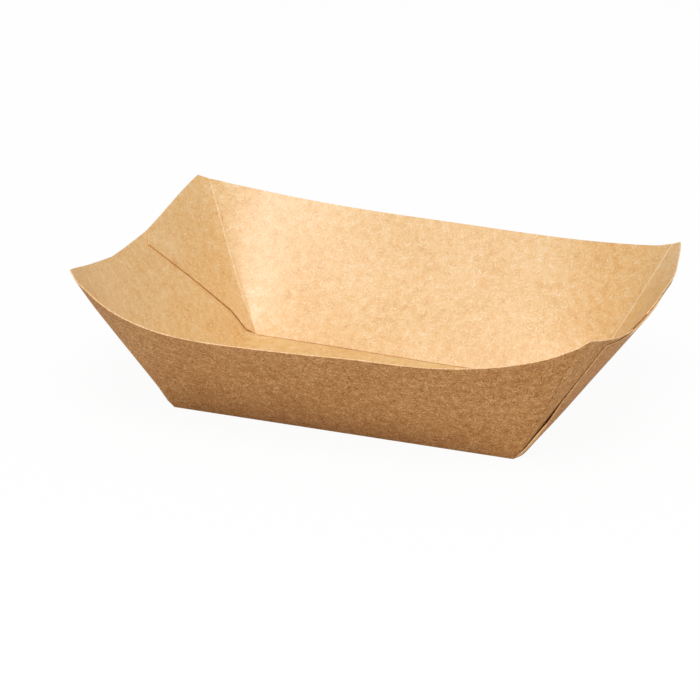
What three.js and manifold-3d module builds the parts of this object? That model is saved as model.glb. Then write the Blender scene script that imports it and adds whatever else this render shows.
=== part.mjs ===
// Folded kraft board food tray, in millimetres, with +Z up.
// One die-cut sheet: a floor, two long walls, two end walls and four glue flaps.
// The flaps are the ends of the long walls. They turn round the corner creases,
// lie inside the end walls and are held there by a spot of glue each.
// The origin is the middle of the floor's underside. A quarter of the sheet is
// worked out, with x and y above 0, and mirrored three times.

import * as THREE from 'three';
import Module from 'manifold-3d';

// Board
const boardThickness = 0.4;
const kraftColour = 0xd9ae74;
const kraftRoughness = 0.85;

// Floor, between its fold lines
const floorLength = 120;
const floorWidth = 74.5;

// Walls, measured up the board from their fold lines
const longWallHeight = 51.4;
const endWallHeight = 52.1;
const endWallSideRise = 1.5;
const endWallTopWidth = 79;

// Flare: how far the walls and the corner creases lean out for each millimetre of height
const longWallFlare = 0.875;
const endWallFlare = 0.788;
const cornerFlareX = 0.543;
const cornerFlareY = 0.401;

// How late each wall starts to bend in towards its corners
const longWallBend = 3;
const endWallBend = 2;

// Tips, the highest points of the rim, on the flaps just past the corner creases
const tipSpacing = 106.2;
const tipHeight = 57.8;

// How early the rim sweeps up to the tips: 0 for a plain parabola
const rimFullness = 0.6;

// Outline of a glue flap on the end wall: distance from the middle and height up the wall
const flapRimEnd = 15.5;
const flapNose = { side: 10.8, height: 48.3 };
const flapUpperKnee = { side: 32.1, height: 12 };
const flapLowerKnee = { side: 33.6, height: 3.8 };

// Clearances at the corners, where the end wall stands off from the flap
const cornerRelief = 0.6;
const flapClearance = 0.2;
const cornerGape = 0.9;
const cornerGapeHeight = 28;
const cornerGapeReach = 6;

// Glue spot between each flap and its end wall
const glueInner = 22;
const glueOuter = 32;
const glueBottom = 33;
const glueTop = 45;

// Rounding of the folds: the board taken up on each side of the line
const floorFoldRounding = 0.5;
const creaseRounding = 0.6;
const creaseRoundingRun = 12;

// Fineness of the surface
const longWallColumns = 14;
const endWallColumns = 10;
const flapColumnStep = 0.09;
const foldSteps = 4;
const wallRows = [0, 0.12, 0.4, 0.7, 1];
const endWallRows = [0, 0.08, 0.17, 0.27, 0.37, 0.47, 0.6, 0.8, 1];
const glueSteps = 3;
const weldDistance = 1e-5;
const solveSteps = 50;

const halfLength = floorLength / 2;
const halfWidth = floorWidth / 2;
const floorLevel = boardThickness / 2;
const tipSide = tipSpacing / 2;

// The middle of the end wall's board lies this far outside the middle of the flap's
const layerShift = (boardThickness + flapClearance) * Math.hypot(1, endWallFlare);

// Height up the wall at which the flap begins, above the bare corner of the floor
const flapStart = floorFoldRounding + cornerRelief;

const { lerp } = THREE.MathUtils;

// Finds where a rising function crosses zero between two bounds
function solve(rising, low, high) {
  let [below, above] = [low, high];
  for (let step = 0; step < solveSteps; step += 1) {
    const middle = (below + above) / 2;
    if (rising(middle) < 0) {
      below = middle;
    } else {
      above = middle;
    }
  }
  return (below + above) / 2;
}

// A curved wall made of straight lines that stand on its fold and fan out towards the
// corner. Board bends one way only, so this is the form that a flared wall takes.
// Along runs with the fold, and share goes from 0 at the wall's middle to 1 at its crease.
class RuledWall {
  constructor({ halfFold, flare, cornerFlare, cornerLean, bend }) {
    this.halfFold = halfFold;
    this.flare = flare;
    this.cornerFlare = cornerFlare;
    this.cornerFan = cornerLean / Math.hypot(1, cornerFlare);
    this.bend = bend;
  }

  footAt(share) {
    return this.halfFold * Math.sin((share * Math.PI) / 2);
  }

  alongAt(share, height) {
    return this.footAt(share) + height * this.cornerFan * share ** this.bend;
  }

  shareThrough(along, height) {
    return solve((share) => this.alongAt(share, height) - along, 0, 1);
  }

  // Along, out from the fold and up, for a place on a ruling
  onRuling(share, height) {
    const flare = lerp(this.flare, this.cornerFlare, share ** this.bend);
    const slant = Math.hypot(1, flare);
    return { along: this.alongAt(share, height), out: (height * flare) / slant, up: height / slant };
  }

  onFlat(along, height) {
    return this.onRuling(this.shareThrough(along, height), height);
  }
}

const longWall = new RuledWall({
  halfFold: halfLength,
  flare: longWallFlare,
  cornerFlare: cornerFlareY,
  cornerLean: cornerFlareX,
  bend: longWallBend,
});

const endWall = new RuledWall({
  halfFold: halfWidth,
  flare: endWallFlare,
  cornerFlare: cornerFlareX,
  cornerLean: cornerFlareY,
  bend: endWallBend,
});

function longWallPoint({ along, out, up }) {
  return new THREE.Vector3(along, halfWidth + out, floorLevel + up);
}

// The flap lies against the end wall, so both follow the same surface
function flapPoint({ along, out, up }) {
  return new THREE.Vector3(halfLength + out, along, floorLevel + up);
}

// Near the floor's corners the end wall springs a little away from the flap
function gapeAt(side, height) {
  const rise = Math.min(height / cornerGapeHeight, 1);
  return cornerGape * Math.sin(Math.PI * rise) ** 2 * Math.min(side / halfWidth, 1) ** cornerGapeReach;
}

function endWallPoint(side, height) {
  const point = flapPoint(endWall.onFlat(side, height));
  point.x += layerShift + gapeAt(side, height);
  return point;
}

// Points of a rounded fold, from one tangent point round the fold line to the other
function roundedFold(start, foldLine, end) {
  return new THREE.QuadraticBezierCurve3(start, foldLine, end).getPoints(foldSteps);
}

// Heights up the end wall and up the long wall to the same point of the crease
const creaseRatio = Math.hypot(1, longWall.cornerFan) / Math.hypot(1, endWall.cornerFan);

// Rim of the flaps and tips, as height up the end wall
const creaseTop = {
  side: endWall.alongAt(1, longWallHeight * creaseRatio),
  height: longWallHeight * creaseRatio,
};

function sweptRim(side) {
  const reach = (side / tipSide) ** 2;
  return endWallHeight + (tipHeight - endWallHeight) * reach * (1 + rimFullness * (1 - reach));
}

// Height of an outline, given by its points in order of side, at one side
function heightOn(points, side) {
  const last = points.length - 1;
  const next = Math.max(1, points.findIndex((point) => point.side >= side));
  const to = side > points[last].side ? last : next;
  const from = points[to - 1];
  const share = (side - from.side) / (points[to].side - from.side);
  return lerp(from.height, points[to].height, THREE.MathUtils.clamp(share, 0, 1));
}

const flapStartOnEnd = flapStart * creaseRatio;
const flapLowerEdge = [
  flapNose,
  flapUpperKnee,
  flapLowerKnee,
  { side: endWall.alongAt(1, flapStartOnEnd), height: flapStartOnEnd },
];

function flapUpperEdge(side) {
  const rimEnd = { side: flapRimEnd, height: sweptRim(flapRimEnd) };
  const tip = { side: tipSide, height: tipHeight };
  if (side < flapRimEnd) {
    return heightOn([flapNose, rimEnd], side);
  }
  return side < tipSide ? sweptRim(side) : heightOn([tip, creaseTop], side);
}

// Where a ruling of the end wall meets an outline
function meetOutline(share, outline) {
  return solve((height) => height - outline(endWall.alongAt(share, height)), 0, 2 * tipHeight);
}

// The sheet's middle surface, gathered as triangles whose shared points are one
class Surface {
  constructor() {
    this.points = [];
    this.triangles = [];
    this.upright = new Set();
    this.indexOf = new Map();
  }

  add(point) {
    const key = point.toArray().map((value) => Math.round(value / weldDistance)).join();
    if (!this.indexOf.has(key)) {
      this.indexOf.set(key, this.points.length);
      this.points.push(point);
    }
    return this.indexOf.get(key);
  }

  // A triangle and its three mirror images, which leaves out what has no width
  addMirrored(corners, isFloor) {
    for (const [signX, signY] of [[1, 1], [-1, 1], [-1, -1], [1, -1]]) {
      const mirror = new THREE.Vector3(signX, signY, 1);
      const indices = corners.map((corner) => this.add(corner.clone().multiply(mirror)));
      if (new Set(indices).size === 3) {
        this.triangles.push(signX * signY > 0 ? indices : indices.reverse());
        if (isFloor) {
          indices.forEach((index) => this.upright.add(index));
        }
      }
    }
  }

  // Columns of points run up the board, and follow each other to the left, seen from inside
  addColumns(columns) {
    for (let column = 0; column + 1 < columns.length; column += 1) {
      const [here, next] = [columns[column], columns[column + 1]];
      for (let row = 0; row + 1 < here.length; row += 1) {
        this.addMirrored([here[row], here[row + 1], next[row + 1]], false);
        this.addMirrored([here[row], next[row + 1], next[row]], false);
      }
    }
  }

  addFloor(outline) {
    const flat = outline.map((point) => new THREE.Vector2(point.x, point.y));
    for (const indices of THREE.ShapeUtils.triangulateShape(flat, [])) {
      this.addMirrored(indices.map((index) => outline[index]), true);
    }
  }

  // Directions square to the surface, upright all over the floor so that it stays flat
  normals() {
    const normals = this.points.map(() => new THREE.Vector3());
    for (const triangle of this.triangles) {
      const [a, b, c] = triangle.map((index) => this.points[index]);
      const face = new THREE.Triangle(a, b, c).getNormal(new THREE.Vector3());
      triangle.forEach((index, place) => {
        const corner = this.points[index];
        const toNext = this.points[triangle[(place + 1) % 3]].clone().sub(corner);
        const toLast = this.points[triangle[(place + 2) % 3]].clone().sub(corner);
        normals[index].addScaledVector(face, toNext.angleTo(toLast));
      });
    }
    this.upright.forEach((index) => normals[index].set(0, 0, 1));
    return normals.map((normal) => normal.normalize());
  }
}

// A closed solid between two copies of one surface, with a cut edge round its border
function closedSolid(upper, lower, triangles) {
  const count = upper.length;
  const edges = new Set();
  for (const [a, b, c] of triangles) {
    [[a, b], [b, c], [c, a]].forEach((edge) => edges.add(edge.join()));
  }
  const faces = triangles.flatMap(([a, b, c]) => [[a, b, c], [count + c, count + b, count + a]]);
  for (const edge of edges) {
    const [from, to] = edge.split(',').map(Number);
    if (!edges.has([to, from].join())) {
      faces.push([from, count + from, count + to], [from, count + to, to]);
    }
  }
  return { points: [...upper, ...lower], faces };
}

// Length of board taken up on each side of the crease, none where it leaves the floor
function creaseRoundingAt(height) {
  const run = THREE.MathUtils.clamp((height - floorFoldRounding) / creaseRoundingRun, 0, 1);
  return creaseRounding * run;
}

// Heights of the points above the floor fold, from its rounding to the rim
function wallHeights() {
  return [floorFoldRounding, ...wallRows.map((share) => lerp(flapStart, longWallHeight, share))];
}

function floorFold(share) {
  const foot = longWall.footAt(share);
  const start = new THREE.Vector3(foot, halfWidth - floorFoldRounding, floorLevel);
  const foldLine = new THREE.Vector3(foot, halfWidth, floorLevel);
  return roundedFold(start, foldLine, longWallPoint(longWall.onRuling(share, floorFoldRounding)));
}

function longWallColumn(share) {
  const above = wallHeights().slice(1);
  return [...floorFold(share), ...above.map((height) => longWallPoint(longWall.onRuling(share, height)))];
}

// The crease between the long wall and its flap, as columns that turn the corner
function creaseColumns() {
  const towardsTip = new THREE.Vector2(creaseTop.side - tipSide, tipHeight - creaseTop.height).normalize();
  const rows = wallHeights().slice(1).map((height) => {
    const rounding = creaseRoundingAt(height);
    const onLongWall = longWall.onFlat(longWall.alongAt(1, height) - rounding, height);
    const endHeight = height * creaseRatio;
    const onFlap = endWall.onFlat(
      endWall.alongAt(1, endHeight) - rounding * towardsTip.x,
      endHeight + rounding * towardsTip.y
    );
    const corner = longWallPoint(longWall.onRuling(1, height));
    return roundedFold(longWallPoint(onLongWall), corner, flapPoint(onFlap));
  });
  const foot = floorFold(1);
  return Array.from({ length: foldSteps + 1 }, (_, column) => [...foot, ...rows.map((row) => row[column])]);
}

// The flap's rulings from the tip to its nose, with one through each corner of its outline
function flapShares() {
  const corners = [
    { side: tipSide, height: tipHeight },
    flapLowerKnee,
    flapUpperKnee,
    { side: flapRimEnd, height: sweptRim(flapRimEnd) },
    flapNose,
  ];
  const stops = corners.map(({ side, height }) => endWall.shareThrough(side, height));
  stops.sort((first, second) => second - first);
  return stops.flatMap((stop, index) => {
    if (index === 0) {
      return [stop];
    }
    const steps = Math.ceil((stops[index - 1] - stop) / flapColumnStep);
    return Array.from({ length: steps }, (_, step) => lerp(stops[index - 1], stop, (step + 1) / steps));
  });
}

function flapColumn(share) {
  const bottom = meetOutline(share, (side) => heightOn(flapLowerEdge, side));
  const top = meetOutline(share, flapUpperEdge);
  return wallRows.map((row) => flapPoint(endWall.onRuling(share, lerp(bottom, top, row))));
}

function endWallColumn(share) {
  const rim = endWallHeight + endWallSideRise * share ** 2;
  const sideAt = (height) => share * lerp(halfWidth - cornerRelief, endWallTopWidth / 2, height / rim);
  const foldPlace = halfLength + layerShift;
  const foot = sideAt(0);
  const fold = roundedFold(
    new THREE.Vector3(foldPlace - floorFoldRounding, foot, floorLevel),
    new THREE.Vector3(foldPlace, foot, floorLevel),
    endWallPoint(sideAt(floorFoldRounding), floorFoldRounding)
  );
  const above = endWallRows.slice(1).map((row) => {
    const height = lerp(floorFoldRounding, rim, row);
    return endWallPoint(sideAt(height), height);
  });
  return [...fold, ...above];
}

function traySheet() {
  const surface = new Surface();
  const shares = Array.from({ length: longWallColumns }, (_, column) => column / longWallColumns);
  const creases = creaseColumns();
  const wallColumns = [...shares.map(longWallColumn), ...creases];
  surface.addColumns([...wallColumns].reverse());

  const firstFlapRow = creases[0].length - wallRows.length;
  const flapColumns = [creases[foldSteps].slice(firstFlapRow), ...flapShares().map(flapColumn)];
  surface.addColumns(flapColumns.reverse());

  const ends = Array.from({ length: endWallColumns + 1 }, (_, column) => {
    return endWallColumn(Math.sin((column / endWallColumns) * (Math.PI / 2)));
  });
  surface.addColumns(ends);

  const middle = new THREE.Vector3(0, 0, floorLevel);
  const endSide = ends.map((column) => column[0]);
  const longSide = [...shares, 1].map((share) => floorFold(share)[0]).reverse();
  surface.addFloor([middle, ...endSide, ...longSide]);

  const normals = surface.normals();
  const offset = (distance) => surface.points.map((point, index) => {
    return point.clone().addScaledVector(normals[index], distance);
  });
  return closedSolid(offset(boardThickness / 2), offset(-boardThickness / 2), surface.triangles);
}

// A spot of glue that fills the clearance between a flap and its end wall
function glueSpot(signX, signY) {
  const [inner, outer] = [[], []];
  for (let row = 0; row <= glueSteps; row += 1) {
    for (let column = 0; column <= glueSteps; column += 1) {
      const side = lerp(glueInner, glueOuter, column / glueSteps);
      const height = lerp(glueBottom, glueTop, row / glueSteps);
      const mirror = new THREE.Vector3(signX, signY, 1);
      inner.push(flapPoint(endWall.onFlat(side, height)).multiply(mirror));
      outer.push(endWallPoint(side, height).multiply(mirror));
    }
  }
  const triangles = [];
  const width = glueSteps + 1;
  for (let row = 0; row < glueSteps; row += 1) {
    for (let column = 0; column < glueSteps; column += 1) {
      const corner = row * width + column;
      triangles.push([corner, corner + 1, corner + width + 1], [corner, corner + width + 1, corner + width]);
    }
  }
  return signX * signY > 0
    ? closedSolid(outer, inner, triangles)
    : closedSolid(inner, outer, triangles);
}

const wasm = await Module();
wasm.setup();

function toManifold({ points, faces }) {
  return new wasm.Manifold(new wasm.Mesh({
    numProp: 3,
    vertProperties: new Float32Array(points.flatMap((point) => point.toArray())),
    triVerts: new Uint32Array(faces.flat()),
  }));
}

function toGeometry(solid) {
  const { vertProperties, triVerts } = solid.getMesh();
  const geometry = new THREE.BufferGeometry();
  geometry.setAttribute('position', new THREE.BufferAttribute(vertProperties, 3));
  geometry.setIndex(new THREE.BufferAttribute(triVerts, 1));
  geometry.computeVertexNormals();
  return geometry;
}

let glued = toManifold(traySheet());
for (const [signX, signY] of [[1, 1], [-1, 1], [-1, -1], [1, -1]]) {
  glued = glued.add(toManifold(glueSpot(signX, signY)));
}

const kraftBoard = new THREE.MeshStandardMaterial({
  color: kraftColour,
  roughness: kraftRoughness,
  metalness: 0,
});
const foodTray = new THREE.Mesh(toGeometry(glued), kraftBoard);
foodTray.name = 'food_tray';

const tray = new THREE.Group();
tray.add(foodTray);

export default tray;
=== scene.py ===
import math

import bpy
import numpy as np
from mathutils import Matrix, Vector


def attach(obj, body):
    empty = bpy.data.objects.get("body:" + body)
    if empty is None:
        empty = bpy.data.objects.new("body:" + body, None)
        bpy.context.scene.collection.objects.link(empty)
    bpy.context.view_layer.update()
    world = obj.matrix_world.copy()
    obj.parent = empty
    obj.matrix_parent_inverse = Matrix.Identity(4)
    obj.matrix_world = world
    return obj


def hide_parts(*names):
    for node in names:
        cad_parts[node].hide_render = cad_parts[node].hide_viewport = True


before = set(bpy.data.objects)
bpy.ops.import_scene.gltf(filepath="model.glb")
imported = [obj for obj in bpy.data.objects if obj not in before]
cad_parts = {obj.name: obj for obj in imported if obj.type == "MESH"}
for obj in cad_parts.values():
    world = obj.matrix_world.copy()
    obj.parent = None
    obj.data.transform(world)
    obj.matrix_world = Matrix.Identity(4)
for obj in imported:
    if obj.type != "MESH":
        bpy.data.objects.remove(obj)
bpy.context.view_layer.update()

# Sizes of the folded board, in metres
BOARD = 0.0004
FLOOR_LENGTH = 0.120
FLOOR_WIDTH = 0.0745
LONG_WALL_HEIGHT = 0.0514
END_WALL_HEIGHT = 0.0518
END_WALL_SIDE_RISE = 0.0015
END_WALL_TOP_WIDTH = 0.079

# How far the walls and the corner creases lean out for each metre of height
LONG_WALL_FLARE = 0.875
END_WALL_FLARE = 0.788
CORNER_FLARE_X = 0.543
CORNER_FLARE_Y = 0.401

# How late each wall starts to bend in towards its corners
LONG_WALL_BEND = 3
END_WALL_BEND = 2

# The tips, and how full the rim's sweep up to them is
TIP_SIDE = 0.0531
TIP_HEIGHT = 0.0578
SWEEP_FULLNESS = 0.6

# Outline of a glue flap on the end wall: distance from the middle and height up the wall
FLAP_RIM_END = 0.0155
FLAP_NOSE = (0.0108, 0.0483)
FLAP_UPPER_KNEE = (0.0321, 0.0120)
FLAP_LOWER_KNEE = (0.0336, 0.0038)

# Clearances at the corners. The end wall stands off from the flap, starts short of the floor's
# corner by the relief, and laps over the corner again just above it.
CORNER_RELIEF = 0.00042
CORNER_LAP = 0.0006
CORNER_LAP_HEIGHT = 0.0015
FLAP_RISE = 0.0001
FLAP_CLEARANCE = 0.00038
RIM_CLEARANCE = 0.00012

# The end wall is held at the floor's corner, over this height and with this power of its width
CORNER_HOLD_HEIGHT = 0.0014
CORNER_HOLD_REACH = 12

# Above the corner the end wall springs away from the flap, by this much at each corner
CORNER_GAPS = {(-1, -1): 0.0003, (1, -1): 0.0007, (1, 1): 0.0003, (-1, 1): 0.0001}
SPRING_HEIGHT = 0.028
SPRING_REACH = 1

# Rounding of the folds, the low bead along the corner creases and the swell of the cut edges
FLOOR_FOLD_ROUNDING = 0.0004
CREASE_ROUNDING = 0.0006
CREASE_ROUNDING_RUN = 0.012
CREASE_BEAD = 0.00012
CUT_EDGE_SWELL = 0.00005

# Marks along the folds: above 0 turns the inside paler along the corner creases and paints shade on the
# outside there, and below 0 paints shade into the inside of the floor's folds and turns the outside
# paler there
CREASE_MARK_AND_SHADE = 1.0
FLOOR_FOLD_SHADE = -2.0
END_FOLD_SHADE = -0.1
MARK_SHARPNESS = 2

# How much of the crease's mark, paler inside and painted shade outside, shows at the left end and at
# the right end
CREASE_MARK_AND_SHADE_BY_END = {-1: 0.45, 1: 1.2}

# Fineness of the surface
LONG_WALL_COLUMNS = 40
LAST_LONG_WALL_SHARE = 0.96
FLAP_COLUMN_STEP = 0.03
END_WALL_COLUMNS = 26
WALL_ROWS = 22
END_WALL_ROWS = 26
FOLD_STEPS = 8
SOLVE_STEPS = 40
WELD = 1e-7
SHORTEST = 1e-9
SHARP_ANGLE = math.radians(35)

# The hand-folded tray is a little wider at its left end, fully so from this height up
SKEW_HEIGHT = 0.040
WIDTH_SKEW = 0.0369
HEIGHT_SKEW = 0.000101
LENGTH_SHIFT = 0.000442

# Bows in the long walls, by side: place along the wall, half width and how far the rim leans out
BOWS = {
    -1: [(-0.033, 0.014, 0.0009), (0.012, 0.009, -0.0005), (0.056, 0.012, 0.0004)],
    1: [(-0.074, 0.008, 0.0012), (0.074, 0.008, 0.0014)],
}

# Dips in the rims of the long walls, by side: place along the wall, half width and depth
DIPS = {
    -1: [(-0.066, 0.022, -0.00065), (0.008, 0.019, -0.00045)],
    1: [
        (-0.074, 0.012, 0.0004),
        (-0.050, 0.016, 0.0004),
        (0.010, 0.030, -0.0006),
        (0.066, 0.014, 0.0014),
    ],
}

# Share of the wall's half length over which a bow or a dip dies away at the crease
CREASE_HOLD = 0.08

# Bows of the floor's long folds, by side: place along the fold, half width and how far in, and
# the height of wall over which they die away
FOLD_BOWS = {-1: [], 1: [(0.018, 0.045, 0.0024)]}
FOLD_BOW_HEIGHT = 0.020

# Bows and dips in the rims of the end walls, by end: place across, half width and how far out
# or down
END_BOWS = {
    -1: [(0.028, 0.014, -0.0002)],
    1: [(0.003, 0.027, -0.0007), (0.034, 0.006, 0.0004), (0.021, 0.008, -0.0003)],
}
END_DIPS = {-1: [(-0.024, 0.012, -0.0004)], 1: []}

# How far each tip stands from its place on the symmetric tray: along, across and up. The board
# follows between these distances from the middle, along and across.
TIP_NUDGES = {
    (-1, -1): (0.0003, 0.0, 0.0007),
    (1, -1): (-0.0010, 0.0, -0.0003),
    (1, 1): (-0.0004, 0.0, 0.0005),
    (-1, 1): (0.0002, 0.0, -0.00012),
}
TIP_REACH = (0.066, 0.089)
TIP_REACH_ACROSS = (0.020, 0.050)

# How far a corner of the floor stands from its place, and how far around it the board follows
CORNER_NUDGES = {(1, -1): (-0.0009, 0.0, 0.0)}
CORNER_NUDGE_REACH = 0.003

# How far the creases lie from their place, along the wall, and over what share of its length
CREASE_SHIFTS = {(-1, 1): -0.0009}
CREASE_SHIFT_REACH = 0.05

# Camera, fitted to the photograph
SENSOR_WIDTH = 36
LENS = 209.377
CAMERA_PLACE = (0.426169, -1.209479, 0.499818)
CAMERA_YAW = math.radians(19.8915)
CAMERA_PITCH = math.radians(20.665)
CAMERA_ROLL = math.radians(1.08)

# Clouds in the kraft, by size in metres
CLOUD_SIZES = {"broad": 0.025, "clouds": 0.003, "grain": 0.0007}

# Each layer of fibres: cell size, fibre length and width in metres
FIBRE_LAYERS = [
    (0.0009, 0.0009, 0.00016),
    (0.0013, 0.0013, 0.00020),
    (0.0017, 0.0018, 0.00022),
    (0.0024, 0.0026, 0.00026),
]

# How far a layer lies from the one before it, how much a fibre curls, how rare strong fibres
# are, the share of a fibre's reach at which it starts to fade, and how high fibres stand
LAYER_SHIFT = (0.37, 0.23)
FIBRE_CURL = 1.2
FIBRE_RARITY = 3.0
FADE_START = 0.6
FIBRE_RELIEF = 0.00006

# Colours of the board, from dark to pale
INSIDE_TONES = [
    (0.42, 0.14, 0.025),
    (0.70, 0.38, 0.108),
    (0.79, 0.49, 0.185),
    (0.835, 0.585, 0.30),
    (0.91, 0.72, 0.50),
]
# The outside is the same kraft as the inside: its darker, more saturated tones are painted shade for
# its faces, which turn down and away from the lamp
SHADED_OUTSIDE_TONES = [(0.24, 0.082, 0.012), (0.525, 0.243, 0.073), (0.86, 0.53, 0.24)]
EDGE_TONES = [(0.50, 0.23, 0.07), (0.84, 0.51, 0.23), (0.97, 0.72, 0.42)]

# Contrast of the fibres, the share of it that dark fibres have, contrast of the clouds and of
# the fold marks, whose dark side paints shade, and strength of the relief and of the shine
INSIDE_CONTRAST = {
    "fibres": 1.3, "dark": 0.35, "broad": 1.0, "clouds": 1.3, "grain": 1.6,
    "score": 0.8, "bump": 0.3, "shine": 1.5,
}
OUTSIDE_CONTRAST = {
    "fibres": 2.2, "dark": 0.8, "broad": 0.5, "clouds": 1.0, "grain": 1.8,
    "score": -0.25, "bump": 0.6, "shine": 0.3,
}
INSIDE_ROUGHNESS = 0.5
OUTSIDE_ROUGHNESS = 0.75
EDGE_ROUGHNESS = 0.85

# The floor: its size, its greys as the camera sees it and for the light it throws back, and how
# much of the tray's shadow shows on it
FLOOR_SIZE = 8.0
SEEN_GREY = 0.9
FLOOR_BOUNCE = 0.84
SHADOW_SHARE = 0.05

# The sky's strength, and each lamp: place, power in watts and side of the square
SKY_LIGHT = 0.45
LAMPS = {"key": ((0.36, -1.3, 2.1), 45.5, 1.6)}

HALF_LENGTH = FLOOR_LENGTH / 2
HALF_WIDTH = FLOOR_WIDTH / 2
FLOOR_LEVEL = BOARD / 2
FLAP_START = FLOOR_FOLD_ROUNDING + FLAP_RISE

INSIDE, OUTSIDE, CUT_EDGE = range(3)


# Folded board

def lerp(start, end, share):
    return start + (end - start) * share


def even_steps(count):
    """Shares from 0 to 1, one more than the count of steps."""
    return [step / count for step in range(count + 1)]


def solve(rising, low, high):
    """Where a rising function crosses zero between two bounds."""
    for _ in range(SOLVE_STEPS):
        middle = (low + high) / 2
        if rising(middle) < 0:
            low = middle
        else:
            high = middle
    return (low + high) / 2


class RuledWall:
    """A wall of straight lines that stand on its fold and fan out towards the corner.

    Along runs with the fold, and share goes from 0 at the wall's middle to 1 at its crease."""

    def __init__(self, half_fold, flare, corner_flare, corner_lean, bend):
        self.half_fold = half_fold
        self.flare = flare
        self.corner_flare = corner_flare
        self.corner_fan = corner_lean / math.hypot(1, corner_flare)
        self.bend = bend

    def foot_at(self, share):
        return self.half_fold * math.sin(share * math.pi / 2)

    def along_at(self, share, height):
        return self.foot_at(share) + height * self.corner_fan * share ** self.bend

    def share_through(self, along, height):
        return solve(lambda share: self.along_at(share, height) - along, 0.0, 1.0)

    def on_ruling(self, share, height):
        """Along, out from the fold and up."""
        flare = lerp(self.flare, self.corner_flare, share ** self.bend)
        slant = math.hypot(1, flare)
        return self.along_at(share, height), height * flare / slant, height / slant

    def on_flat(self, along, height):
        return self.on_ruling(self.share_through(along, height), height)


LONG_WALL = RuledWall(HALF_LENGTH, LONG_WALL_FLARE, CORNER_FLARE_Y, CORNER_FLARE_X, LONG_WALL_BEND)
END_WALL = RuledWall(HALF_WIDTH, END_WALL_FLARE, CORNER_FLARE_X, CORNER_FLARE_Y, END_WALL_BEND)

# Heights up the end wall and up the long wall to the same point of the crease
CREASE_RATIO = math.hypot(1, LONG_WALL.corner_fan) / math.hypot(1, END_WALL.corner_fan)
CREASE_TOP = (END_WALL.along_at(1, LONG_WALL_HEIGHT * CREASE_RATIO), LONG_WALL_HEIGHT * CREASE_RATIO)


class Place:
    """A point of the board: where it is folded, where it lies on the flat blank, its fold mark, above
    0 at the corner creases, where it turns the inside paler and paints shade on the outside, and
    below 0 at the floor's folds, where it paints shade on the inside, and its share of the end
    wall's spring."""

    def __init__(self, folded, flat, score=0.0, spring=0.0):
        self.folded = np.array(folded, float)
        self.flat = np.array(flat, float)
        self.score = score
        self.spring = spring


def long_wall_place(share, height):
    along, out, up = LONG_WALL.on_ruling(share, height)
    return Place((along, HALF_WIDTH + out, FLOOR_LEVEL + up), (along, HALF_WIDTH + height))


def flap_on_blank(side, height):
    """A flap turns about the crease, so on the blank it lies past the end of its long wall."""
    up_end = np.array((END_WALL.corner_fan, 1)) / math.hypot(1, END_WALL.corner_fan)
    up_long = np.array((LONG_WALL.corner_fan, 1)) / math.hypot(1, LONG_WALL.corner_fan)
    from_corner = np.array((side - HALF_WIDTH, height))
    up_crease = from_corner @ up_end
    past_crease = from_corner @ np.array((-up_end[1], up_end[0]))
    past_end = np.array((up_long[1], -up_long[0]))
    return np.array((HALF_LENGTH, HALF_WIDTH)) + up_crease * up_long + past_crease * past_end


def flap_place(share, height):
    side, out, up = END_WALL.on_ruling(share, height)
    return Place((HALF_LENGTH + out, side, FLOOR_LEVEL + up), flap_on_blank(side, height))


def spring_share(side, height):
    """Near the floor's corners the end wall springs a little away from the flap."""
    rise = min(height / SPRING_HEIGHT, 1)
    return math.sin(math.pi * rise) ** 2 * min(side / HALF_WIDTH, 1) ** SPRING_REACH


def layer_shift(side, height):
    """How far the end wall lies outside the flap, which is least at the rim and at the corner."""
    clearance = lerp(FLAP_CLEARANCE, RIM_CLEARANCE, smooth_step(0, END_WALL_HEIGHT, height))
    held = min(side / HALF_WIDTH, 1) ** CORNER_HOLD_REACH * math.exp(-height / CORNER_HOLD_HEIGHT)
    return (BOARD + clearance) * math.hypot(1, END_WALL_FLARE) * (1 - held)


def end_wall_place(side, height):
    side, out, up = END_WALL.on_flat(side, height)
    folded = (HALF_LENGTH + layer_shift(side, height) + out, side, FLOOR_LEVEL + up)
    flat = (HALF_LENGTH + layer_shift(side, 0) + height, side)
    return Place(folded, flat, 0.0, spring_share(side, height))


def rounded_fold(start, fold_line, end, score, bead=(0, 0, 0)):
    """Places round a fold, from one tangent point past the fold line to the other."""
    places = []
    for t in even_steps(FOLD_STEPS):
        folded = (1 - t) ** 2 * start.folded + 2 * t * (1 - t) * fold_line.folded + t ** 2 * end.folded
        mark = math.sin(math.pi * t) ** MARK_SHARPNESS
        folded = folded + mark * np.array(bead)
        places.append(Place(folded, lerp(start.flat, end.flat, t), mark * score, t * end.spring))
    return places


def swept_rim(side):
    reach = (side / TIP_SIDE) ** 2
    rise = reach * (1 + SWEEP_FULLNESS - SWEEP_FULLNESS * reach)
    return END_WALL_HEIGHT + (TIP_HEIGHT - END_WALL_HEIGHT) * rise


FLAP_START_ON_END = FLAP_START * CREASE_RATIO
FLAP_LOWER_EDGE = [
    FLAP_NOSE,
    FLAP_UPPER_KNEE,
    FLAP_LOWER_KNEE,
    (END_WALL.along_at(1, FLAP_START_ON_END), FLAP_START_ON_END),
]


def flap_bottom(side):
    return np.interp(side, *zip(*FLAP_LOWER_EDGE))


def flap_top(side):
    if side < FLAP_RIM_END:
        return np.interp(side, *zip(FLAP_NOSE, (FLAP_RIM_END, swept_rim(FLAP_RIM_END))))
    if side < TIP_SIDE:
        return swept_rim(side)
    (crease_side, crease_height) = CREASE_TOP
    share = (side - TIP_SIDE) / (crease_side - TIP_SIDE)
    return lerp(TIP_HEIGHT, crease_height, share)


def meet_outline(share, outline):
    """Height at which a ruling of the end wall meets an outline."""
    return solve(lambda height: height - outline(END_WALL.along_at(share, height)), 0, 2 * TIP_HEIGHT)


def wall_heights():
    return [lerp(FLAP_START, LONG_WALL_HEIGHT, share) for share in even_steps(WALL_ROWS)]


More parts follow.
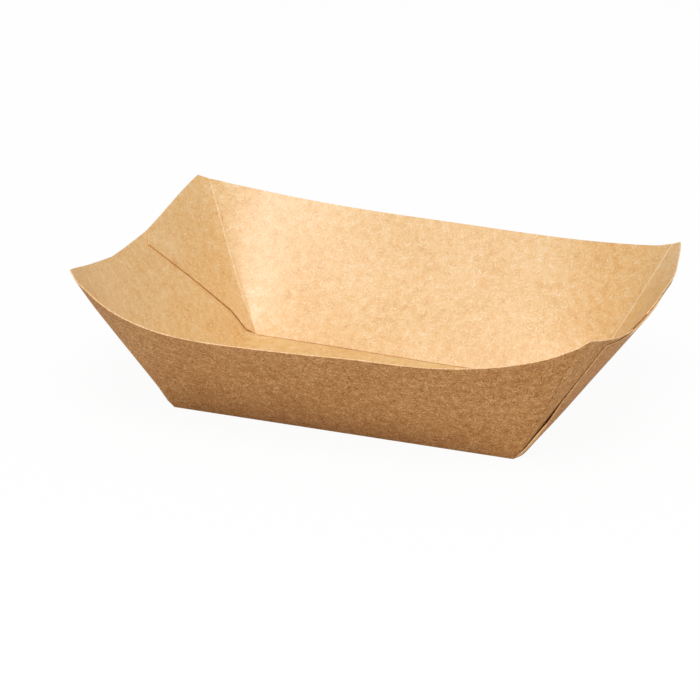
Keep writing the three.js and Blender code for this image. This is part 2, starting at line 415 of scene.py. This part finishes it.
def floor_fold(share):
    foot = LONG_WALL.foot_at(share)
    inner = HALF_WIDTH - FLOOR_FOLD_ROUNDING
    start = Place((foot, inner, FLOOR_LEVEL), (foot, inner))
    fold_line = Place((foot, HALF_WIDTH, FLOOR_LEVEL), (foot, HALF_WIDTH))
    return rounded_fold(start, fold_line, long_wall_place(share, FLOOR_FOLD_ROUNDING), FLOOR_FOLD_SHADE)


def long_wall_column(share):
    return floor_fold(share) + [long_wall_place(share, height) for height in wall_heights()]


def crease_columns():
    """The crease between the long wall and its flap, as columns that turn the corner."""
    towards_tip = np.array((CREASE_TOP[0] - TIP_SIDE, TIP_HEIGHT - CREASE_TOP[1]))
    towards_tip /= np.linalg.norm(towards_tip)
    inward = np.array((-1, -1, 0)) / math.sqrt(2)
    rows = []
    for height in wall_heights():
        run = min(max((height - FLOOR_FOLD_ROUNDING) / CREASE_ROUNDING_RUN, 0), 1)
        rounding = CREASE_ROUNDING * run
        on_long = LONG_WALL.share_through(LONG_WALL.along_at(1, height) - rounding, height)
        end_height = height * CREASE_RATIO + rounding * towards_tip[1]
        side = END_WALL.along_at(1, height * CREASE_RATIO) - rounding * towards_tip[0]
        on_flap = END_WALL.share_through(side, end_height)
        rows.append(rounded_fold(
            long_wall_place(on_long, height),
            long_wall_place(1, height),
            flap_place(on_flap, end_height),
            CREASE_MARK_AND_SHADE * run,
            CREASE_BEAD * run * inward,
        ))
    foot = floor_fold(1)
    return [foot + [row[column] for row in rows] for column in range(FOLD_STEPS + 1)]


def flap_shares():
    """The flap's rulings from the tip to its nose, with one through each corner of its outline."""
    corners = [
        (TIP_SIDE, TIP_HEIGHT),
        FLAP_LOWER_KNEE,
        FLAP_UPPER_KNEE,
        (FLAP_RIM_END, swept_rim(FLAP_RIM_END)),
        FLAP_NOSE,
    ]
    stops = sorted((END_WALL.share_through(*corner) for corner in corners), reverse=True)
    shares = [stops[0]]
    for start, stop in zip(stops, stops[1:]):
        count = math.ceil((start - stop) / FLAP_COLUMN_STEP)
        shares += [lerp(start, stop, share) for share in even_steps(count)[1:]]
    return shares


def flap_column(share):
    bottom = meet_outline(share, flap_bottom)
    top = meet_outline(share, flap_top)
    return [flap_place(share, lerp(bottom, top, rise)) for rise in even_steps(WALL_ROWS)]


def end_wall_column(share):
    rim = END_WALL_HEIGHT + END_WALL_SIDE_RISE * share ** 2

    def side_at(height):
        straight = lerp(HALF_WIDTH - CORNER_RELIEF, END_WALL_TOP_WIDTH / 2, height / rim)
        return share * (straight + CORNER_LAP * smooth_step(0, CORNER_LAP_HEIGHT, height))

    foot = side_at(0)
    fold_place = HALF_LENGTH + layer_shift(foot, 0)
    start = fold_place - FLOOR_FOLD_ROUNDING
    fold = rounded_fold(
        Place((start, foot, FLOOR_LEVEL), (start, foot)),
        Place((fold_place, foot, FLOOR_LEVEL), (fold_place, foot)),
        end_wall_place(side_at(FLOOR_FOLD_ROUNDING), FLOOR_FOLD_ROUNDING),
        END_FOLD_SHADE,
    )
    heights = [lerp(FLOOR_FOLD_ROUNDING, rim, rise) for rise in even_steps(END_WALL_ROWS)[1:]]
    return fold + [end_wall_place(side_at(height), height) for height in heights]


class Surface:
    """The board's middle surface, gathered as faces whose shared points are one."""

    def __init__(self):
        self.points = []
        self.flats = []
        self.scores = []
        self.springs = []
        self.faces = []
        self.upright = set()
        self.index_of = {}

    def add(self, place, signs):
        folded = place.folded * (*signs, 1)
        key = tuple(np.round(folded / WELD).astype(int))
        if key not in self.index_of:
            self.index_of[key] = len(self.points)
            self.points.append(folded)
            self.flats.append(place.flat * signs)
            # The crease's mark, painted shade on the outside, shows more at one end than at the other
            mark_and_shade_share = CREASE_MARK_AND_SHADE_BY_END[signs[0]] if place.score > 0 else 1
            self.scores.append(place.score * mark_and_shade_share)
            self.springs.append(place.spring)
        return self.index_of[key]

    def add_mirrored(self, corners, is_floor=False):
        """A face and its three mirror images, which leaves out what has no width."""
        for signs in ((1, 1), (-1, 1), (-1, -1), (1, -1)):
            indices = list(dict.fromkeys(self.add(corner, signs) for corner in corners))
            if len(indices) > 2:
                self.faces.append(indices if signs[0] == signs[1] else indices[::-1])
                if is_floor:
                    self.upright.update(indices)

    def add_columns(self, columns):
        """Columns run up the board, and follow each other to the left, seen from inside."""
        for here, following in zip(columns, columns[1:]):
            for row in range(len(here) - 1):
                self.add_mirrored([here[row], here[row + 1], following[row + 1], following[row]])


def tray_surface():
    surface = Surface()
    shares = [LAST_LONG_WALL_SHARE * share for share in even_steps(LONG_WALL_COLUMNS)]
    creases = crease_columns()
    wall_columns = [long_wall_column(share) for share in shares] + creases
    surface.add_columns(wall_columns[::-1])

    on_flap = creases[FOLD_STEPS][-(WALL_ROWS + 1):]
    surface.add_columns([on_flap, *map(flap_column, flap_shares())][::-1])

    end_shares = [math.sin(share * math.pi / 2) for share in even_steps(END_WALL_COLUMNS)]
    ends = [end_wall_column(share) for share in end_shares]
    surface.add_columns(ends)

    middle = Place((0, 0, FLOOR_LEVEL), (0, 0))
    long_side = [floor_fold(share)[0] for share in [*shares, 1]]
    surface.add_mirrored([middle, *(column[0] for column in ends), *long_side[::-1]], is_floor=True)
    return surface


def smooth_step(low, high, value):
    share = np.clip((value - low) / (high - low), 0, 1)
    return share ** 2 * (3 - 2 * share)


def hills(shapes, place):
    """The sum of rounded hills, each with its middle, half width and height."""
    total = np.zeros_like(place)
    for middle, half_width, height in shapes:
        total += height * np.exp(-((place - middle) / half_width) ** 2)
    return total


def wall_rise(z):
    return np.clip(z / SKEW_HEIGHT, 0, None)


def crease_place(z):
    """How far along the board the corner creases are at each height."""
    return HALF_LENGTH + CORNER_FLARE_X * z


def share_within_creases(x, z):
    """1 at the middle of a long wall, and 0 at its creases and past them."""
    return np.clip(1 - np.abs(x / crease_place(z)), 0, None)


def long_wall_bows(points):
    """How the long walls bow and dip between their creases, most at the rim."""
    x, y, z = points.T
    hold = smooth_step(0, CREASE_HOLD, share_within_creases(x, z)) * wall_rise(z) ** 2
    rim_place = x / crease_place(z) * CREASE_TOP[0]
    slant = math.hypot(1, LONG_WALL_FLARE)
    shift = np.zeros_like(points)
    for side in (-1, 1):
        on_side = hold * smooth_step(0, HALF_WIDTH, y * side)
        out = on_side * hills(BOWS[side], rim_place)
        shift[:, 1] += side * out / slant
        shift[:, 2] -= out * LONG_WALL_FLARE / slant + on_side * hills(DIPS[side], rim_place)
    return shift


def floor_fold_bows(points):
    x, y, z = points.T
    low = (share_within_creases(x, z) > 0) * (1 - smooth_step(0, FOLD_BOW_HEIGHT, z))
    shift = np.zeros_like(points)
    for side in (-1, 1):
        on_fold = low * smooth_step(HALF_WIDTH / 2, HALF_WIDTH, y * side)
        shift[:, 1] -= side * on_fold * hills(FOLD_BOWS[side], x)
    return shift


def end_wall_bows(points):
    x, y, z = points.T
    shift = np.zeros_like(points)
    for side in (-1, 1):
        on_end = wall_rise(z) ** 2 * smooth_step(0, HALF_LENGTH, x * side)
        shift[:, 0] += side * on_end * hills(END_BOWS[side], y)
        shift[:, 2] -= on_end * hills(END_DIPS[side], y)
    return shift


def bowed(points):
    return points + long_wall_bows(points) + floor_fold_bows(points) + end_wall_bows(points)


def shifted_creases(points):
    """Moves a crease along the board, with the board on both sides of it following."""
    x, y, z = points.T
    near_crease = np.exp(-((np.abs(x) / crease_place(z) - 1) / CREASE_SHIFT_REACH) ** 2)
    near_crease *= smooth_step(0, SKEW_HEIGHT / 2, z)
    moved = points.copy()
    for (sign_x, sign_y), shift in CREASE_SHIFTS.items():
        moved[:, 0] += shift * near_crease * (x * sign_x > 0) * smooth_step(0, HALF_WIDTH, y * sign_y)
    return moved


def nudged_corners(points):
    moved = points.copy()
    for (sign_x, sign_y), nudge in CORNER_NUDGES.items():
        corner = np.array((sign_x * HALF_LENGTH, sign_y * HALF_WIDTH, FLOOR_LEVEL))
        near = np.exp(-((points - corner) ** 2).sum(axis=1) / CORNER_NUDGE_REACH ** 2)
        moved += near[:, None] * np.array(nudge)
    return moved


def nudged_tips(points):
    x, y, z = points.T
    near_tip = smooth_step(*TIP_REACH, np.abs(x)) * smooth_step(*TIP_REACH_ACROSS, np.abs(y))
    near_tip *= wall_rise(z) ** 2
    moved = points.copy()
    for (sign_x, sign_y), nudge in TIP_NUDGES.items():
        here = near_tip * (x * sign_x > 0) * (y * sign_y > 0)
        moved += here[:, None] * np.array(nudge)
    return moved


def skewed(points):
    """The photographed tray's walls lean a little more at its left end."""
    x, y, z = points.T
    rise = np.clip(z / SKEW_HEIGHT, 0, 1)
    along = x / CREASE_TOP[0] * rise
    return np.stack([
        x - LENGTH_SHIFT * rise,
        y * (1 - WIDTH_SKEW * along),
        z + HEIGHT_SKEW * along,
    ], axis=1)


def sprung(points, springs):
    x, y, _ = points.T
    moved = points.copy()
    for (sign_x, sign_y), gap in CORNER_GAPS.items():
        moved[:, 0] += sign_x * gap * springs * (x * sign_x > 0) * (y * sign_y > 0)
    return moved


def folded_by_hand(points, springs):
    moved = bowed(sprung(points, springs))
    return skewed(nudged_corners(nudged_tips(shifted_creases(moved))))


def vertex_normals(points, faces, upright):
    """Directions square to the surface, upright all over the floor so that it stays flat."""
    normals = np.zeros_like(points)
    for face in faces:
        corners = points[face]
        area_normal = np.cross(corners, np.roll(corners, -1, axis=0)).sum(axis=0)
        normals[face] += area_normal
    normals[sorted(upright)] = (0, 0, 1)
    return normals / np.linalg.norm(normals, axis=1, keepdims=True)


def border_edges(faces):
    """Edges that only one face has, each from its first to its second point."""
    edges = {(a, b) for face in faces for a, b in zip(face, face[1:] + face[:1])}
    return [(a, b) for a, b in sorted(edges) if (b, a) not in edges]


def edge_directions(points, normals, border):
    """Directions out of the board at its border, square to the border and to the surface."""
    outward = np.zeros_like(points)
    for a, b in border:
        along = points[b] - points[a]
        out = np.cross(along, normals[a])
        outward[[a, b]] += out / np.linalg.norm(out)
    lengths = np.linalg.norm(outward, axis=1, keepdims=True)
    return outward / np.maximum(lengths, SHORTEST)


def thick_board(points, faces, upright):
    """The board's vertices and polygons, each polygon's material and each vertex's point.

    The cut edge has a third vertex between the inside and the outside, which rounds it."""
    count = len(points)
    normals = vertex_normals(points, faces, upright)
    border = border_edges(faces)
    outward = edge_directions(points, normals, border)
    ring = sorted({index for edge in border for index in edge})
    ring_index = {index: 2 * count + order for order, index in enumerate(ring)}

    upper = points + normals * BOARD / 2
    lower = points - normals * BOARD / 2
    middle = (points + outward * CUT_EDGE_SWELL)[ring]
    sources = [*range(count), *range(count), *ring]

    polygons = list(faces)
    polygons += [[count + index for index in reversed(face)] for face in faces]
    for a, b in border:
        polygons.append([b, a, ring_index[a], ring_index[b]])
        polygons.append([ring_index[b], ring_index[a], count + a, count + b])
    materials = [INSIDE] * len(faces) + [OUTSIDE] * len(faces) + [CUT_EDGE] * 2 * len(border)
    return np.concatenate([upper, lower, middle]), polygons, materials, sources


def make_tray():
    surface = tray_surface()
    points = folded_by_hand(np.array(surface.points), np.array(surface.springs))
    vertices, polygons, materials, sources = thick_board(points, surface.faces, surface.upright)

    mesh = bpy.data.meshes.new("folded_tray")
    mesh.from_pydata(vertices.tolist(), [], polygons)
    mesh.polygons.foreach_set("material_index", materials)
    mesh.polygons.foreach_set("use_smooth", [True] * len(polygons))
    corners = np.zeros(len(mesh.loops), dtype=np.int32)
    mesh.loops.foreach_get("vertex_index", corners)
    flats = np.array(surface.flats)[sources]
    mesh.uv_layers.new(name="blank").data.foreach_set("uv", flats[corners].ravel())
    scores = np.array(surface.scores)[sources]
    # Fold marks for each point; where they darken the board they are painted shade along the folds
    mesh.attributes.new("score", "FLOAT", "POINT").data.foreach_set("value", scores)
    mesh.set_sharp_from_angle(angle=SHARP_ANGLE)
    mesh.validate()
    tray = bpy.data.objects.new("folded_tray", mesh)
    bpy.context.scene.collection.objects.link(tray)
    return tray


# Materials

class Shader:
    """A node tree with short ways to add and link nodes."""

    def __init__(self, name):
        self.material = bpy.data.materials.new(name)
        self.material.use_nodes = True
        self.tree = self.material.node_tree
        self.tree.nodes.clear()

    def node(self, kind, settings=None, **inputs):
        node = self.tree.nodes.new("ShaderNode" + kind)
        for name, value in (settings or {}).items():
            setattr(node, name, value)
        for name, value in inputs.items():
            self.set(node, name.replace("_", " "), value)
        return node

    def set(self, node, name, value):
        socket = node.inputs[int(name)] if name.isdigit() else node.inputs[name]
        if isinstance(value, bpy.types.NodeSocket):
            self.tree.links.new(value, socket)
        else:
            socket.default_value = value

    def math(self, operation, *values, clamp=False):
        node = self.node("Math", {"operation": operation, "use_clamp": clamp})
        for place, value in enumerate(values):
            self.set(node, str(place), value)
        return node.outputs[0]

    def total(self, values):
        result = values[0]
        for value in values[1:]:
            result = self.math("ADD", result, value)
        return result


def fibre_layer(shader, place, dark_share, order, cell, length, width):
    """Short curled fibres lying every way, one in each cell, as a value from -1 to 1."""
    shifted = shader.node("VectorMath", {"operation": "ADD"})
    shader.set(shifted, "0", place)
    shader.set(shifted, "1", (LAYER_SHIFT[0] * order, LAYER_SHIFT[1] * order, 0))
    place = shifted.outputs[0]
    cells = shader.node("TexVoronoi", {"voronoi_dimensions": "2D"}, Vector=place, Scale=1 / cell)
    random = shader.node("SeparateColor", Color=cells.outputs["Color"])
    away = shader.node("VectorMath", {"operation": "SUBTRACT"})
    shader.set(away, "0", place)
    shader.set(away, "1", cells.outputs["Position"])
    angle = shader.math("MULTIPLY", random.outputs[0], 2 * math.pi)
    turned = shader.node(
        "VectorRotate", {"rotation_type": "Z_AXIS"}, Vector=away.outputs[0], Angle=angle
    )
    local = shader.node("SeparateXYZ", Vector=turned.outputs[0])
    curl = shader.math("MULTIPLY_ADD", random.outputs[1], 2 * FIBRE_CURL / length, -FIBRE_CURL / length)
    bend = shader.math("MULTIPLY", curl, shader.math("POWER", local.outputs[0], 2.0))
    across = shader.math("ABSOLUTE", shader.math("ADD", local.outputs[1], bend))
    along = shader.math("ABSOLUTE", local.outputs[0])
    mask = shader.math("MULTIPLY", fade(shader, across, width / 2), fade(shader, along, length / 2))
    signed = shader.math("MULTIPLY_ADD", random.outputs[2], 2.0, -1.0)
    strength = shader.math("POWER", signed, FIBRE_RARITY)
    strength = shader.math("MAXIMUM", strength, shader.math("MULTIPLY", strength, dark_share))
    return shader.math("MULTIPLY", mask, strength)


def fade(shader, distance, reach):
    """One near the middle and none past the reach."""
    return shader.node(
        "MapRange",
        {"interpolation_type": "SMOOTHSTEP"},
        Value=distance, From_Min=reach * FADE_START, From_Max=reach, To_Min=1.0, To_Max=0.0,
    ).outputs[0]


def noise(shader, place, size):
    """Clouds of the given size, as a value about 0."""
    node = shader.node("TexNoise", Vector=place, Scale=1 / size)
    return shader.math("SUBTRACT", node.outputs["Fac"], 0.5)


def kraft_board(name, tones, contrast, roughness):
    """Kraft paper: mottled, with short pale and dark fibres. Tones run from dark to pale."""
    shader = Shader(name)
    place = shader.node("UVMap", {"uv_map": "blank"}).outputs[0]
    fibres = [
        shader.math(
            "MULTIPLY", fibre_layer(shader, place, contrast["dark"], order, *layer), contrast["fibres"]
        )
        for order, layer in enumerate(FIBRE_LAYERS)
    ]
    clouds = [
        shader.math("MULTIPLY", noise(shader, place, size), contrast[kind])
        for kind, size in CLOUD_SIZES.items()
    ]
    texture = shader.total(fibres + clouds)
    # The fold marks: painted shade along the folds where they darken the board
    score = shader.node("Attribute", {"attribute_name": "score"}).outputs["Fac"]
    marks = shader.math("MULTIPLY", score, contrast["score"])
    level = shader.math("MULTIPLY_ADD", shader.math("ADD", texture, marks), 0.5, 0.5, clamp=True)
    ramp = shader.node("ValToRGB", Fac=level)
    set_ramp(ramp.color_ramp, tones)
    bump = shader.node("Bump", Height=texture, Strength=contrast["bump"], Distance=FIBRE_RELIEF)
    surface = shader.node(
        "BsdfPrincipled",
        Base_Color=ramp.outputs["Color"],
        Roughness=roughness,
        Specular_IOR_Level=contrast["shine"],
        Normal=bump.outputs[0],
    )
    output = shader.node("OutputMaterial")
    shader.set(output, "Surface", surface.outputs[0])
    return shader.material


def set_ramp(ramp, tones):
    ramp.elements[0].color = (*tones[0], 1)
    ramp.elements[1].color = (*tones[-1], 1)
    for order, tone in enumerate(tones[1:-1], start=1):
        ramp.elements.new(order / (len(tones) - 1)).color = (*tone, 1)


def dress_tray(tray):
    """Adds the materials in the order of INSIDE, OUTSIDE and CUT_EDGE."""
    for name, tones, contrast, roughness in (
        ("kraft_inside", INSIDE_TONES, INSIDE_CONTRAST, INSIDE_ROUGHNESS),
        ("kraft_outside_shaded", SHADED_OUTSIDE_TONES, OUTSIDE_CONTRAST, OUTSIDE_ROUGHNESS),
        ("kraft_cut_edge", EDGE_TONES, INSIDE_CONTRAST, EDGE_ROUGHNESS),
    ):
        tray.data.materials.append(kraft_board(name, tones, contrast, roughness))


# Studio

def grey(level):
    return (level, level, level, 1)


def make_floor():
    bpy.ops.mesh.primitive_plane_add(size=FLOOR_SIZE)
    floor = bpy.context.object
    floor.name = "studio_floor"
    shader = Shader("studio_floor")
    rays = shader.node("LightPath")
    is_seen = shader.math("MAXIMUM", rays.outputs["Is Camera Ray"], rays.outputs["Is Glossy Ray"])
    white = shader.node("Emission", Color=grey(1), Strength=1.0)
    pale = shader.node("BsdfDiffuse", Color=grey(SEEN_GREY))
    seen = shader.node("MixShader", Fac=SHADOW_SHARE)
    shader.set(seen, "1", white.outputs[0])
    shader.set(seen, "2", pale.outputs[0])
    lighting = shader.node("BsdfDiffuse", Color=grey(FLOOR_BOUNCE))
    chosen = shader.node("MixShader", Fac=is_seen)
    shader.set(chosen, "1", lighting.outputs[0])
    shader.set(chosen, "2", seen.outputs[0])
    output = shader.node("OutputMaterial")
    shader.set(output, "Surface", chosen.outputs[0])
    floor.data.materials.append(shader.material)


def make_world():
    world = bpy.data.worlds.new("studio")
    world.use_nodes = True
    tree = world.node_tree
    background = tree.nodes["Background"]
    rays = tree.nodes.new("ShaderNodeLightPath")
    strength = tree.nodes.new("ShaderNodeMapRange")
    strength.inputs["To Min"].default_value = SKY_LIGHT
    strength.inputs["To Max"].default_value = 1.0
    tree.links.new(rays.outputs["Is Camera Ray"], strength.inputs["Value"])
    tree.links.new(strength.outputs[0], background.inputs["Strength"])
    background.inputs["Color"].default_value = grey(1)
    bpy.context.scene.world = world


def make_lamps():
    for name, (place, power, side) in LAMPS.items():
        light = bpy.data.lights.new(name, "AREA")
        light.energy = power
        light.size = side
        lamp = bpy.data.objects.new(name, light)
        lamp.location = place
        lamp.rotation_euler = Vector(place).to_track_quat("Z", "Y").to_euler()
        bpy.context.scene.collection.objects.link(lamp)


def make_camera():
    forward = Vector((
        -math.sin(CAMERA_YAW) * math.cos(CAMERA_PITCH),
        math.cos(CAMERA_YAW) * math.cos(CAMERA_PITCH),
        -math.sin(CAMERA_PITCH),
    ))
    level = Vector((math.cos(CAMERA_YAW), math.sin(CAMERA_YAW), 0))
    upright = level.cross(forward)
    right = level * math.cos(CAMERA_ROLL) + upright * math.sin(CAMERA_ROLL)
    up = upright * math.cos(CAMERA_ROLL) - level * math.sin(CAMERA_ROLL)
    data = bpy.data.cameras.new("photo_camera")
    data.sensor_width = SENSOR_WIDTH
    data.lens = LENS
    camera = bpy.data.objects.new("photo_camera", data)
    turn = Matrix((right, up, -forward)).transposed().to_4x4()
    camera.matrix_world = Matrix.Translation(CAMERA_PLACE) @ turn
    bpy.context.scene.collection.objects.link(camera)
    bpy.context.scene.camera = camera


make_camera()
tray = make_tray()
dress_tray(tray)
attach(tray, "root")
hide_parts("food_tray")
make_floor()
make_world()
make_lamps()
bpy.context.scene.view_settings.view_transform = "Standard"
